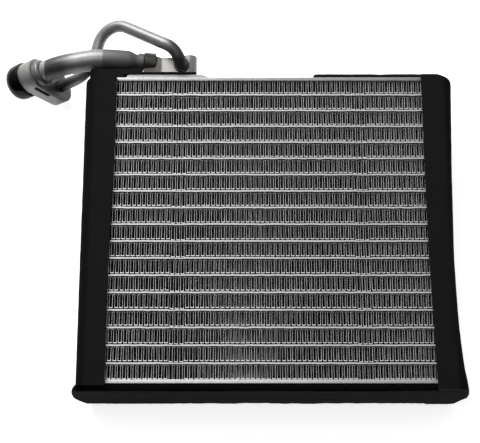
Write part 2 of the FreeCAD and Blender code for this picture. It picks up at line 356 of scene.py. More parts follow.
# %% Plates
def plate_metal(name, darkest, lightest):
    """Stamped sheet with cloudy stains from the furnace and a fine crust of flux."""
    finish = Finish(name, metallic=0.6)
    stains = finish.noise(90, 5, (1, 3, 3))
    flux = finish.noise(700, 2)
    finish.give("Base Color", finish.blend(stains, grey(darkest), grey(lightest)))
    finish.give("Roughness", flux * 0.25 + 0.32)
    finish.bumps(flux, 0.08 * MM, 0.6)
    return finish


tube_finish = plate_metal("tube_metal", 0.42, 0.64)
top_finish = plate_metal("top_plate_metal", 0.25, 0.4)


# %% Drawn pipes
COLLAR_BAND = (-173 * MM, -168 * MM)
# Near the flange the pipes get a mottled painted shadow.
SEAT_SHADOW = (-157 * MM, -143 * MM)
SHADOW_SHARE = 0.55
SHADOW_CLOUDS = 0.6


def pipe_metal(name, shade_from, fully_shaded, shade_level):
    """Drawn tube with painted shade towards its block end, a mottled painted shadow near the flange, and
    lighter at the collar.
    """
    finish = Finish(name, metallic=0.7)
    clouds = finish.noise(70, 5)
    grain = finish.noise(900, 3)
    # Painted shade past a place along X: on the thick pipe it stands for the duller reflection past its
    # bend, on the thin pipe for the shade at its foot.
    end_shade = finish.ease("X", shade_from, fully_shaded)
    start, end = COLLAR_BAND
    band = finish.ease("X", start, start + MM) - finish.ease("X", end - MM, end)
    bright = finish.blend(clouds, grey(0.16, 0.01), grey(0.34, 0.01))
    dark = finish.blend(clouds, grey(shade_level * 0.8, 0.02), grey(shade_level * 1.2, 0.02))
    # Painted shadow on the pipes near the flange, mottled by the clouds.
    seat_shadow = (1 - finish.ease("X", *SEAT_SHADOW)) * (clouds * SHADOW_CLOUDS + SHADOW_SHARE)
    drawn = finish.blend(seat_shadow, finish.blend(end_shade, bright, dark), grey(0.04, 0.02))
    finish.give("Base Color", finish.blend(band, drawn, grey(0.34)))
    finish.give("Roughness", clouds * 0.2 + 0.34 + end_shade * 0.1)
    finish.bumps(grain, 0.06 * MM, 0.4)
    return finish


# The thick pipe's painted shade starts past its bend, the thin pipe's towards its foot at the block.
thick_pipe_finish = pipe_metal("thick_pipe_metal", -125 * MM, -123.5 * MM, 0.14)
thin_pipe_finish = pipe_metal("thin_pipe_metal", -80 * MM, -71 * MM, 0.04)


# %% Machined block and flange
def machined_metal(name, level, lit_from, lit_to):
    """Milled bar with painted shade outside a lit stretch along X."""
    finish = Finish(name, metallic=0.6)
    lines = finish.noise(1400, 2, (1, 0.06, 1))
    clouds = finish.noise(110, 4)
    bare = finish.blend(clouds, grey(level * 0.75, 0.03), grey(level * 1.1, 0.03))
    # Painted shade: darker outside the lit stretch, where the pipes and the light leave the metal in shade.
    shade_tone = finish.blend(clouds, grey(level * 0.1, 0.06), grey(level * 0.26, 0.06))
    lit_stretch = finish.ease("X", *lit_from) - finish.ease("X", *lit_to)
    finish.give("Base Color", finish.blend(lit_stretch, shade_tone, bare))
    finish.give("Roughness", lines * 0.2 + 0.34)
    finish.bumps(lines, 0.05 * MM, 0.4)
    return finish


# Stretches without a start or an end of their own begin far to the left or end at the right.
FAR_LEFT = (-1, -0.9)
FAR_RIGHT = (0, 1)
# Painted shade on the block's eye and shoulder, and on the flange's and the retainer's ends near the thin
# pipe.
block_finish = machined_metal("block_metal", 0.24, (-81 * MM, -79 * MM), FAR_RIGHT)
flange_finish = machined_metal("flange_metal", 0.3, FAR_LEFT, (-166 * MM, -156 * MM))
retainer_finish = machined_metal("retainer_metal", 0.2, FAR_LEFT, (-176 * MM, -164 * MM))

# %% [markdown]
# ## The plug and the foam
# The plug is moulded plastic with a soft gloss. The foam is closed-cell sheet: so black that its form shows
# only by a faint sheen, with tiny cells that break the light up. Past the folds round the tanks it is
# painted blacker, as painted shade, and the strip is blacker, partly for its open cut cells and partly as
# painted shade on its underside. All of this is one pattern with other values.

# %% Plug
def plug_plastic():
    """Black moulded plastic with a faint orange-peel skin."""
    finish = Finish("plug_plastic", base_color=grey(0.001), roughness=0.18, specular_ior_level=0.15)
    finish.bumps(finish.noise(500, 2), 0.03 * MM, 0.3)
    return finish


plug_finish = plug_plastic()


# %% Foam
FOLD_SHADE_FROM = 126 * MM
FOLD_SHADE_TO = 131 * MM


def foam_sheet(name, level, shine, cells, depth):
    """Black foam with so many cells to a metre, pressed in by a depth, with painted shade past the folds.
    """
    finish = Finish(name, roughness=0.85, specular_ior_level=shine)
    patches = finish.noise(28, 4)
    pores = finish.node("ShaderNodeTexVoronoi", {"feature": "DISTANCE_TO_EDGE"},
                        {"Vector": finish.place, "Scale": cells}, output="Distance")
    flat = finish.blend(patches, grey(level * 0.8), grey(level * 1.25))
    # Painted shade where the wrap turns round the tank, past the folds on both sides.
    folded = finish.ease("X", FOLD_SHADE_FROM, FOLD_SHADE_TO) + 1 - finish.ease("X", -FOLD_SHADE_TO, -FOLD_SHADE_FROM)
    finish.give("Base Color", finish.blend(folded, flat, grey(level * 0.35)))
    finish.bumps(pores, depth, 0.5)
    return finish


foam_finish = foam_sheet("foam_skin", 0.0075, 0.08, 1100, 0.25 * MM)
# The strip is blacker: partly its open cut cells, partly painted shade on its underside.
cut_and_shaded_finish = foam_sheet("foam_cut_and_shade", 0.0025, 0.03, 500, 0.6 * MM)

# %% [markdown]
# ## Fin rows
# A fin row is one strip folded up and down between two tubes, with slits pressed open in every wall. It
# starts as a flat grid with one column for each turn of the sheet. The columns are moved to the folds, and
# at each station in depth the middle of the walls is bent to one side or the other, as the slits do.
# The folds are never quite even, so each gets a small error of its own. Solidify then makes the sheet
# thick, and thicker on the lower folds, where brazing metal gathered in the furnace.

# %% The folds
FOLDS = 130
LOWER_CREST = 1.05 * MM
UPPER_CREST = 0.72 * MM
CORNER = 0.28 * MM
WALL_MARGIN = 0.12
DENT_PLACE = 65.7 * MM
DENT_HALF = 5.5 * MM
DENT_EDGE = 1.5 * MM
DENT_DEPTH = 0.8 * MM
FOLD_ERROR = 0.14 * MM


def in_dent(x):
    """How far a place is inside one of the two dents, from 0 to 1."""
    away = abs(abs(x) - DENT_PLACE)
    return min(1.0, max(0.0, (DENT_HALF - away) / DENT_EDGE))


def crest_points(x, y, lower):
    """The four points of one crest, with 1 for a lower crest and 0 for an upper one."""
    half = LOWER_CREST if lower else UPPER_CREST
    inward = CORNER if lower else -CORNER
    flat = half - CORNER / 2
    turns = ((-half, inward), (-flat, 0), (flat, 0), (half, inward))
    return [(x + reach, y + lift, lower) for reach, lift in turns]


def wall_points(start, end):
    """Two points on a wall, near its ends."""
    return [(start[0] + (end[0] - start[0]) * share,
             start[1] + (end[1] - start[1]) * share,
             0) for share in (WALL_MARGIN, 1 - WALL_MARGIN)]


def fold_outline(low, high, dice):
    """The strip seen from the front. Of each six points the last two are on a wall."""
    step = (high.x - low.x) / FOLDS
    points = []
    for k in range(FOLDS + 1):
        x = low.x + k * step + dice.uniform(-1, 1) * FOLD_ERROR
        lower = 1 - k % 2
        crest = crest_points(x, low.y - DENT_DEPTH * in_dent(x) if lower else high.y, lower)
        if points:
            points += wall_points(points[-1], crest[0])
        points += crest
    return [(min(high.x, max(low.x, x)), y, lower) for x, y, lower in points]


# %% The slits
SLIT = 1.3 * MM
SLIT_REACH = 0.3 * MM
SLITS_IN_FRONT = 3
SLITS_BEHIND = 2


def slit_run(count):
    """So many slits in from an edge: distances from it, each with a bend to one side or the other."""
    stations = [(0.0, 0.0)]
    for k in range(count):
        stations += [(SLIT * (k + 0.5), -SLIT_REACH), (SLIT * (k + 1.3), SLIT_REACH)]
    return stations


def slit_stations(low, high):
    """Depths from the rear to the front edge, each with how far the walls are bent aside there."""
    rear = [(low.z + inwards, bend) for inwards, bend in slit_run(SLITS_BEHIND)]
    front = [(high.z - inwards, bend) for inwards, bend in reversed(slit_run(SLITS_IN_FRONT))]
    return rear + front


# %% One row
SHEET = 0.2 * MM
BRAZE = 0.6 * MM
BRAZE_LIFT = 0.6 * MM
POINTS_A_FOLD = 6
FIRST_WALL_POINT = 4


def fin_row(name, dice):
    """A grid with a column for each point of the outline and a row for each depth, then made thick."""
    low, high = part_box(name)
    outline = fold_outline(low, high, dice)
    stations = slit_stations(low, high)
    columns, rows = len(outline) - 1, len(stations) - 1
    bpy.ops.mesh.primitive_grid_add(x_subdivisions=columns, y_subdivisions=rows, size=1)
    piece = named(name.replace("fin_row", "folded_fins"))
    crests = piece.vertex_groups.new(name="crests")
    for point in piece.data.vertices:
        column = round((point.co.x + 0.5) * columns)
        depth, bend = stations[round((point.co.y + 0.5) * rows)]
        x, y, lower = outline[column]
        y += BRAZE_LIFT * lower
        on_wall = column % POINTS_A_FOLD >= FIRST_WALL_POINT
        point.co = (x + bend * on_wall, y, depth)
        crests.add([point.index], float(lower), "REPLACE")
    apply(piece, "SOLIDIFY", thickness=BRAZE, offset=0, vertex_group="crests",
          thickness_vertex_group=SHEET / BRAZE, use_even_offset=False)
    return piece


# %% Eighteen rows
ROWS = 18
dice = random.Random(18)
for row in range(1, ROWS + 1):
    node = f"fin_row_{row:02d}"
    done(fin_row(node, dice), fin_finish, "fins", node, angle=50)

# %% [markdown]
# ## Plate tubes
# Each tube is two stamped plates, brazed rim to rim. From the front only the rims show, as one bright and
# slightly wavy line with a shoulder above and below it. One tube is shaped by extrusion: the flat body,
# then the narrowing shoulder, then the straight rim, and a drawn cup at each end. All seventeen are copies
# of it, and each gets waves and dents of its own.

# %% One tube
PLATE = 0.58 * MM
HALF_TUBE = 1.3 * MM
SEAM = 3 * MM
SHOULDER = 0.8 * MM
CUP_LENGTH = 10.5 * MM
CUP_EDGE = 1.5 * MM
CUP_CORNER = 4 * MM
CUP_INSET = 4 * MM
TUBE_CUTS = 96
tube_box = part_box("plate_tube_09")


def extrude_rim(piece, side):
    """Draws one long side of the tube out into its shoulder and rim."""
    edge_z = tube_box[1 if side > 0 else 0].z
    flat_z = edge_z - side * (SEAM + SHOULDER)
    choose(piece, "FACE", faces_towards((0, 0, side)))
    bpy.ops.mesh.extrude_region_move(TRANSFORM_OT_translate={"value": (0, 0, side * SHOULDER)})
    bpy.ops.transform.resize(value=(1, PLATE / HALF_TUBE, 1), center_override=(0, 0, flat_z))
    bpy.ops.mesh.extrude_region_move(TRANSFORM_OT_translate={"value": (0, 0, side * SEAM)})


def plate_tube():
    """The two plates of a tube as one body, cut into short lengths so that its rims can wave."""
    low, high = tube_box
    inset = SEAM + SHOULDER
    piece = block("plate_pair", (low.x, -HALF_TUBE, low.z + inset),
                  (high.x, HALF_TUBE, high.z - inset))
    extrude_rim(piece, 1)
    extrude_rim(piece, -1)
    choose(piece, "EDGE", lambda edge: edge.calc_length() > NEARLY * (high.x - low.x))
    bpy.ops.mesh.subdivide(number_cuts=TUBE_CUTS)
    leave(piece)
    return piece


def cup(side):
    """The drawn cup at one end of a tube: a short column with its corners cut off."""
    low, high = tube_box
    outer = high.x - CUP_EDGE
    left, right = sorted((side * outer, side * (outer - CUP_LENGTH)))
    piece = block("cup", (left, low.y, low.z + CUP_INSET), (right, high.y, high.z - CUP_INSET))
    choose(piece, "EDGE", lambda edge: runs_along(edge, "y"))
    bpy.ops.mesh.bevel(offset=CUP_CORNER, segments=3)
    leave(piece)
    return piece


master_tube = plate_tube()
for side in (-1, 1):
    merge(master_tube, cup(side))
print("one tube:", len(master_tube.data.polygons), "faces")

# %% Seventeen tubes
TUBES = 17
RIM_WAVE = 0.3 * MM
WAVES_ALONG = 250
WAVES_DEEP = 20
SEED_STEP = 7.3


def wavy(piece, seed):
    """Waves the rims and presses the dents into the upper plate."""
    for point in piece.data.vertices:
        x, y, z = point.co
        if abs(y) < HALF_TUBE + TOUCH and abs(x) < tube_box[1].x - CUP_EDGE - CUP_LENGTH:
            point.co.y += RIM_WAVE * noise.noise(Vector((x * WAVES_ALONG, seed, z * WAVES_DEEP)))
            if y > PLATE / 2:
                point.co.y -= DENT_DEPTH * in_dent(x) * (y / HALF_TUBE)


for number in range(1, TUBES + 1):
    node = f"plate_tube_{number:02d}"
    low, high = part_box(node)
    tube = own_copy(master_tube, node.replace("tube", "pair"))
    wavy(tube, number * SEED_STEP)
    only(tube)
    tube.location.y = (low.y + high.y) / 2
    done(tube, tube_finish, "plates", node)
bpy.data.objects.remove(master_tube)

# %% [markdown]
# ## End plates and the raised passage
# The top and bottom plates are trays with their rims turned outwards. An inset and a push inwards make the
# tray, and a small bevel gives the rolled look of pressed sheet. The passage on top is pressed from sheet
# too, so its flanks slope, most at the right end, and its edges are soft.

# %% Trays
RIM_WIDTH = 1.2 * MM
RIM_HEIGHT = 1.2 * MM
END_BODY = 2.8 * MM
TRAY_ROUND = 0.35 * MM


def end_plate(node, side):
    """A tray that opens upwards (side 1) or downwards (side -1)."""
    low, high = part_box(node)
    outer = high.y if side > 0 else low.y
    bottom, top = sorted((outer, outer - side * END_BODY))
    piece = block(node.replace("end_plate", "tray"), (low.x, bottom, low.z), (high.x, top, high.z))
    choose(piece, "FACE", faces_towards((0, side, 0)))
    bpy.ops.mesh.inset(thickness=RIM_WIDTH)
    bpy.ops.mesh.extrude_region_move(TRANSFORM_OT_translate={"value": (0, -side * RIM_HEIGHT, 0)})
    soften(piece, TRAY_ROUND, 3)
    return piece


done(end_plate("top_end_plate", 1), top_finish, "plates", "top_end_plate")
done(end_plate("bottom_end_plate", -1), tube_finish, "plates", "bottom_end_plate")

# %% Passage
PASSAGE_SLOPE = 2.5 * MM
PASSAGE_RIGHT_SLOPE = 13 * MM
PASSAGE_ROUND = 1.4 * MM


def passage():
    """A block whose four upper corners are moved inwards, with every edge well rounded."""
    low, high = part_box("passage_cover")
    centre = (low + high) / 2
    piece = block("raised_passage", low, high)
    for point in piece.data.vertices:
        if point.co.y > centre.y:
            point.co.x += PASSAGE_SLOPE if point.co.x < centre.x else -PASSAGE_RIGHT_SLOPE
            point.co.z += PASSAGE_SLOPE if point.co.z < centre.z else -PASSAGE_SLOPE
    piece.data.update()
    soften(piece, PASSAGE_ROUND, 5, angle=12)
    return piece


done(passage(), top_finish, "plates", "passage_cover", angle=60)

# %% [markdown]
# ## Pipes
# A pipe is bent on a machine: it is pushed straight, then turned round a former, again and again. The same
# moves make it here. A ring of points is extruded along each straight run and spun round each bend's
# centre. A route names the corners where the straight runs would meet, so each bend follows from it.

# %% Bending a pipe
RING = 40
BEND_SHARE = 0.48
BEND_STEP = math.radians(5)
SAME = 0.001 * MM


def ring(name, centre, direction, radius):
    """A selected ring of points that faces a direction."""
    turn = direction.to_track_quat("Z", "Y").to_euler()
    bpy.ops.mesh.primitive_circle_add(vertices=RING, radius=radius, location=centre, rotation=turn)
    piece = named(name)
    choose(piece, "EDGE", lambda edge: True)
    return piece


def push(move):
    """Extrudes what is selected."""
    bpy.ops.mesh.extrude_region_move(TRANSFORM_OT_translate={"value": move})


def widen(centre, factor):
    """Scales the selected ring about its centre."""
    bpy.ops.transform.resize(value=(factor, factor, factor), center_override=centre)


def bend_pipe(route):
    """Extrudes the selected ring along straight runs and spins it round the bends between them."""
    start = route[0]
    for before, corner, after in zip(route, route[1:], route[2:]):
        back = (before - corner).normalized()
        ahead = (after - corner).normalized()
        reach = BEND_SHARE * min((before - corner).length, (after - corner).length)
        half = back.angle(ahead) / 2
        centre = corner + (back + ahead).normalized() * (reach / math.cos(half))
        push(corner + back * reach - start)
        turn = math.pi - 2 * half
        bpy.ops.mesh.spin(steps=math.ceil(turn / BEND_STEP), angle=-turn, center=centre,
                          axis=ahead.cross(back))
        start = corner + ahead * reach
    push(route[-1] - start)


def close_ends(piece):
    """Closes both open ends and turns every face outwards."""
    choose(piece, "EDGE", lambda edge: edge.is_boundary)
    bpy.ops.mesh.fill_holes(sides=0)
    bpy.ops.mesh.select_all(action="SELECT")
    bpy.ops.mesh.remove_doubles(threshold=SAME)
    bpy.ops.mesh.normals_make_consistent(inside=False)
    leave(piece)


# %% Places on the pipes
def place(x, y, z):
    """A place or a move given in millimetres."""
    return Vector((x, y, z)) * MM


TURN = math.radians(30)
TILT = math.radians(9)
outward = Vector((-math.cos(TURN) * math.cos(TILT),
                  -math.sin(TILT),
                  -math.sin(TURN) * math.cos(TILT)))
along = Vector((math.sin(TURN), 0, -math.cos(TURN)))
PORT_SPACING = 26 * MM
RETAINER = 1.4 * MM
PIPE_STOP = 3 * MM
suction_port = place(-94, 132.6, 48)
liquid_port = place(-65.3, 127.3, 55)
suction_seat = suction_port - place(79.5, 6.7, 6.3)
liquid_seat = suction_seat + along * PORT_SPACING
suction_bend = suction_port + place(-34, 0.5, 5)

# %% Thick pipe
SUCTION_RADIUS = 7.9 * MM
SHOULDER_RADIUS = 7.4 * MM
TAPER_RADIUS = 6.4 * MM
NECK_RADIUS = 5.6 * MM
BEAD_RADIUS = 6.6 * MM
TAPER = 6 * MM
NECK = 1.5 * MM
PIPE_BEAD = 4.5 * MM
SOCKET = 6 * MM
SUCTION_RUN = 17.5 * MM
BEAD_ROUND = 0.8 * MM
suction_axis = (suction_port - suction_bend).normalized()
pipe_end = (
    (TAPER * 0.35, SHOULDER_RADIUS),
    (TAPER * 0.35, TAPER_RADIUS),
    (TAPER * 0.3, NECK_RADIUS),
    (NECK, NECK_RADIUS),
    (0, BEAD_RADIUS - BEAD_ROUND),
    (BEAD_ROUND, BEAD_RADIUS),
    (PIPE_BEAD - 2 * BEAD_ROUND, BEAD_RADIUS),
    (BEAD_ROUND, BEAD_RADIUS - BEAD_ROUND),
    (0, NECK_RADIUS),
    (SOCKET, NECK_RADIUS),
)


def suction_pipe():
    """The bent pipe, and then its end: a taper, a neck, a bead and the part inside the block."""
    seat = suction_seat + outward * (RETAINER + PIPE_STOP)
    end = suction_port - suction_axis * (TAPER + NECK + PIPE_BEAD)
    piece = ring("thick_pipe", seat, -outward, SUCTION_RADIUS)
    bend_pipe([seat, suction_seat - outward * SUCTION_RUN, suction_bend, end])
    radius = SUCTION_RADIUS
    for length, to_radius in pipe_end:
        push(suction_axis * length)
        end += suction_axis * length
        widen(end, to_radius / radius)
        radius = to_radius
    close_ends(piece)
    return piece


done(suction_pipe(), thick_pipe_finish, "pipes", "suction_pipe", angle=40)

# %% Thin pipe
LIQUID_RADIUS = 4.5 * MM
COLLAR_RADIUS = 5.8 * MM
COLLAR = 1.6 * MM
COLLAR_ROUND = 0.5 * MM
LIQUID_RUN = 28.5 * MM
LIQUID_STAND_OFF = 6.5 * MM


def liquid_pipe():
    """The pipe that loops over the thick one and comes down into the block, with a collar there."""
    seat = liquid_seat + outward * (RETAINER + PIPE_STOP)
    route = [
        seat,
        liquid_seat - outward * LIQUID_RUN,
        liquid_port + place(-59.9, 44.7, -12),
        liquid_port + place(-5.9, 10.6, 8),
        liquid_port + UP * LIQUID_STAND_OFF,
        liquid_port - UP * SOCKET,
    ]
    piece = ring("thin_pipe", seat, -outward, LIQUID_RADIUS)
    bend_pipe(route)
    close_ends(piece)
    bpy.ops.mesh.primitive_cylinder_add(vertices=RING, radius=COLLAR_RADIUS, depth=COLLAR,
                                        location=liquid_port + UP * (COLLAR / 2))
    collar = named("collar")
    soften(collar, COLLAR_ROUND, 3)
    merge(piece, collar)
    return piece


done(liquid_pipe(), thin_pipe_finish, "pipes", "liquid_pipe", angle=40)

# %% [markdown]
# ## Port block
# The block was milled from bar: a rectangular bar with a sloped shoulder, a round eye that takes the thick
# pipe, and a round post. Eye and post are simple solids, joined to the bar. The eye's end is faced off
# square to the pipe, and small bevels break every edge.

# %% Block
BLOCK_BACK = 41 * MM
BLOCK_FRONT = 55 * MM
BAR_TOP = 133.2 * MM
EYE_RADIUS = 7.4 * MM
EYE_LENGTH = 8.5 * MM
EYE_PROUD = 3.5 * MM
SHOULDER_RUN = 5 * MM
POST_RADIUS = 5.4 * MM
POST_HEIGHT = 17.5 * MM
BLOCK_ROUND = 0.45 * MM
ROUND_BAR_SIDES = 48
passage_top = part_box("passage_cover")[1].y
block_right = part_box("port_block")[1].x
post_x = block_right - POST_RADIUS
eye_end = suction_port.x + EYE_LENGTH


def port_block():
    """The bar: pushed left for the shoulder, which is raised, and again for the part under the eye."""
    piece = block("pipe_block", (eye_end + SHOULDER_RUN, passage_top, BLOCK_BACK),
                  (post_x, BAR_TOP, BLOCK_FRONT))
    choose(piece, "FACE", faces_towards((-1, 0, 0)))
    push((-SHOULDER_RUN, 0, 0))
    choose(piece, "EDGE", lambda edge: middle(edge).x < eye_end + TOUCH
           and middle(edge).y > BAR_TOP - TOUCH)
    bpy.ops.transform.translate(value=(0, suction_port.y + EYE_RADIUS / 2 - BAR_TOP, 0))
    choose(piece, "FACE", faces_towards((-1, 0, 0)))
    push((-EYE_LENGTH, 0, 0))
    choose(piece, "EDGE", lambda edge: middle(edge).x < suction_port.x + TOUCH
           and middle(edge).y > BAR_TOP)
    bpy.ops.transform.translate(value=(0, -EYE_RADIUS / 2, 0))
    choose(piece, "VERT", lambda point: point.co.x < eye_end + TOUCH
           and point.co.z > BLOCK_FRONT - TOUCH)
    bpy.ops.transform.translate(value=(0, 0, -EYE_PROUD))
    leave(piece)
    return piece


def round_bar(name, start, direction, radius, length):
    """A round bar that begins at a place and runs in a direction."""
    turn = direction.to_track_quat("Z", "Y").to_euler()
    bpy.ops.mesh.primitive_cylinder_add(vertices=ROUND_BAR_SIDES, radius=radius, depth=length,
                                        location=start + direction * (length / 2), rotation=turn)
    return named(name)


pipe_block = port_block()
merge(pipe_block, round_bar("eye", suction_port, suction_axis, EYE_RADIUS, EYE_LENGTH))
post_foot = Vector((post_x, passage_top, suction_port.z))
merge(pipe_block, round_bar("post", post_foot, Vector((0, 1, 0)), POST_RADIUS, POST_HEIGHT))
faced_off = round_bar("faced_off", suction_port, -suction_axis, EYE_RADIUS, EYE_LENGTH)
merge(pipe_block, faced_off, "DIFFERENCE")
soften(pipe_block, BLOCK_ROUND, 3)
done(pipe_block, block_finish, "block", "port_block")

# %% [markdown]
# ## Pipe flange
# Both pipes end in an oblong block, and a thin plate with a round boss holds them in it. The outline is a
# racetrack: a circle cut in two, with one half moved along. It is drawn flat, made solid, bored and
# grooved there, where every place is a simple number, and only then turned into its seat.

# %% Racetracks
FLANGE_RADIUS = 12.3 * MM
FLANGE_THICKNESS = 10.4 * MM
GROOVE_START = -3 * MM
GROOVE_LENGTH = 17 * MM
GROOVE_WIDTH = 3.2 * MM
GROOVE_DEPTH = 2.5 * MM
GROOVE_ROUND = 0.9 * MM
VALVE_EDGE = 2.4 * MM
FLANGE_ROUND = 0.4 * MM
BOSS_RADIUS = 10.2 * MM
BOSS_LENGTH = 5 * MM
BOSS_ROUND = 2.2 * MM
RETAINER_ROUND = 0.35 * MM
SUCTION_WALL = 1.2 * MM
LIQUID_WALL = 1 * MM
RACETRACK_SIDES = 64


def racetrack(name, radius, spacing, depth):
    """An oblong slab between z = 0 and its depth, with one end round x = 0."""
    bpy.ops.mesh.primitive_circle_add(vertices=RACETRACK_SIDES, radius=radius, fill_type="NGON")
    piece = named(name)
    choose(piece, "VERT", lambda point: point.co.x > SAME)
    bpy.ops.transform.translate(value=(spacing, 0, 0))
    choose(piece, "FACE", lambda face: True)
    push((0, 0, depth))
    bpy.ops.mesh.select_all(action="SELECT")
    bpy.ops.mesh.normals_make_consistent(inside=False)
    leave(piece)
    return piece


def seat_on_flange(piece, distance):
    """Turns a flat-drawn piece so that x runs along the flange and z points out of its valve side."""
    turn = Matrix((along, outward.cross(along), outward)).transposed().to_4x4()
    piece.matrix_world = Matrix.Translation(suction_seat + outward * distance) @ turn
    leave(piece)
    bpy.ops.object.transform_apply(location=True, rotation=True, scale=True)
    return piece


def bore_out(piece, x, radius, bottom, top):
    """Cuts a round bore out of a flat-drawn piece."""
    merge(piece, round_bar("bore", Vector((x, 0, bottom)), UP, radius, top - bottom), "DIFFERENCE")


def flange_block():
    """The block: its valve side rounded, a stepped bore for each pipe, and a groove in one long side."""
    piece = racetrack("valve_flange", FLANGE_RADIUS, PORT_SPACING, FLANGE_THICKNESS)
    choose(piece, "EDGE", lambda edge: middle(edge).x > MM
           and min(point.co.z for point in edge.verts) > FLANGE_THICKNESS - TOUCH)
    bpy.ops.mesh.bevel(offset=VALVE_EDGE, segments=5)
    leave(piece)
    for x, radius, wall in ((0, SUCTION_RADIUS, SUCTION_WALL), (PORT_SPACING, LIQUID_RADIUS, LIQUID_WALL)):
        bore_out(piece, x, radius, -MM, PIPE_STOP)
        bore_out(piece, x, radius - wall, -MM, FLANGE_THICKNESS + MM)
    groove = block("groove", (GROOVE_START, FLANGE_RADIUS - GROOVE_DEPTH, -MM),
                   (GROOVE_START + GROOVE_LENGTH, FLANGE_RADIUS + MM, GROOVE_WIDTH))
    choose(groove, "EDGE", lambda edge: middle(edge).z > GROOVE_WIDTH / 2 and runs_along(edge, "y"))
    bpy.ops.mesh.bevel(offset=GROOVE_ROUND, segments=4)
    merge(piece, groove, "DIFFERENCE")
    soften(piece, FLANGE_ROUND, 3)
    return seat_on_flange(piece, RETAINER)


def retainer():
    """The thin plate, with a rounded boss round the thick pipe and a hole for each pipe."""
    piece = racetrack("pipe_retainer", FLANGE_RADIUS, PORT_SPACING, RETAINER)
    boss = round_bar("boss", UP * -BOSS_LENGTH, UP, BOSS_RADIUS, BOSS_LENGTH + RETAINER / 2)
    choose(boss, "EDGE", lambda edge: middle(edge).z < TOUCH - BOSS_LENGTH and short(edge))
    bpy.ops.mesh.bevel(offset=BOSS_ROUND, segments=6)
    merge(piece, boss)
    for x, radius in ((0, SUCTION_RADIUS), (PORT_SPACING, LIQUID_RADIUS)):
        bore_out(piece, x, radius, -BOSS_LENGTH - MM, 3 * MM)
    soften(piece, RETAINER_ROUND, 3)
    return seat_on_flange(piece, 0)


done(flange_block(), flange_finish, "flange", "flange_block")
done(retainer(), retainer_finish, "flange", "retainer_plate")

# %% [markdown]
# ## Port plug
# A core is shipped with its ports closed, so that its inside stays dry. The plug is moulded in one: a round
# cap with a well rounded end, and a stem that grips the port. The cap is a short bar with a wide bevel.

# %% The cap and its stem
CAP_RADIUS = 13.6 * MM
CAP_LENGTH = 14 * MM
CAP_ROUND = 7.5 * MM
CAP_RIM = 0.5 * MM
STEM = 5 * MM
STEM_RADIUS = 6.6 * MM


def plug():
    """The cap on the flange's valve side, with its stem in the thick pipe's port."""
    piece = round_bar("port_plug", Vector((0, 0, 0)), UP, CAP_RADIUS, CAP_LENGTH)
    choose(piece, "EDGE", lambda edge: middle(edge).z > CAP_LENGTH - TOUCH and short(edge))
    bpy.ops.mesh.bevel(offset=CAP_ROUND, segments=8)
    choose(piece, "EDGE", lambda edge: middle(edge).z < TOUCH and short(edge))
    bpy.ops.mesh.bevel(offset=CAP_RIM, segments=2)
    leave(piece)
    merge(piece, round_bar("stem", UP * -STEM, UP, STEM_RADIUS, STEM + MM))
    return seat_on_flange(piece, RETAINER + FLANGE_THICKNESS)


done(plug(), plug_finish, "cap", "suction_cap")

# %% [markdown]
# ## Foam wraps
# The foam was cut from sheet and folded by hand, so it has no straight line anywhere. A wrap starts as a
# flat grid, whose columns follow the fold: front flap, fold, side, fold, rear flap. Its rows follow the
# width that changes along the core. Solidify gives the sheet its thickness inwards, thinner where it is
# stretched over the tank, and a cloud texture pushes the skin in and out by a hair.

# %% Foam skin
FINE_CLOUDS = 6 * MM
CLOUDS = 9 * MM
WIDE_CLOUDS = 35 * MM
CLOUD_MIDDLE = 0.6


def foam_skin(piece, depth, size=CLOUDS):
    """Makes the skin of a foam piece uneven, with clouds of a size."""
    clouds = bpy.data.textures.new("foam_clouds", "CLOUDS")
    clouds.noise_scale = size
    apply(piece, "DISPLACE", texture=clouds, texture_coords="GLOBAL", strength=depth,
          mid_level=CLOUD_MIDDLE)


def foam_done(piece, finish, node):
    """Finishes a foam piece."""
    done(piece, finish, "foam", node, angle=60)


# %% Widths of the wraps
# Each row is a height, how far the wrap stands out from the tubes there, and how far it laps over them.
TUBE_END = tube_box[1].x
LEFT_WRAP = [
    (-115.5, 6.1, 14.2),
    (-40.0, 6.6, 13.8),
    (45.0, 7.0, 15.6),
    (113.4, 7.4, 15.6),
]
RIGHT_WRAP = [
    (-118.8, 8.0, 14.2),
    (-104.0, 4.9, 14.5),
    (-70.0, 2.7, 15.1),
    (-25.0, 2.1, 16.1),
    (40.0, 3.9, 16.2),
    (115.0, 7.2, 15.6),
]
EASE_STEPS = (-10, -5, 0, 5, 10)


def width_at(outline, height):
    """How far a wrap stands out and laps over, in metres, at a height in millimetres."""
    for (start, *first), (end, *second) in zip(outline, outline[1:]):
        if height <= end:
            break
    share = min(1, max(0, (height - start) / (end - start)))
    return [(a + (b - a) * share) * MM for a, b in zip(first, second)]


def smooth_width(outline, height):
    """The same, eased round each change of slope."""
    near = [width_at(outline, height + step) for step in EASE_STEPS]
    return [sum(values) / len(near) for values in zip(*near)]


# %% Sections of the wraps
FLAP = 4 * MM
SIDE = 2 * MM
WRAP_ROUND = 6 * MM
FLAP_STEPS = 8
FOLD_STEPS = 6
SIDE_STEPS = 12
wrap_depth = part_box("left_foam_wrap")[1].z


def half_section(out, lap):
    """Half of a section, from the flap to the side: distance outside the tubes, depth below the front."""
    flat = out - WRAP_ROUND
    points = [(-lap + (flat + lap) * k / FLAP_STEPS, 0) for k in range(FLAP_STEPS)]
    for k in range(FOLD_STEPS + 1):
        turn = math.pi / 2 * k / FOLD_STEPS
        points.append((flat + WRAP_ROUND * math.sin(turn), WRAP_ROUND * (1 - math.cos(turn))))
    return points


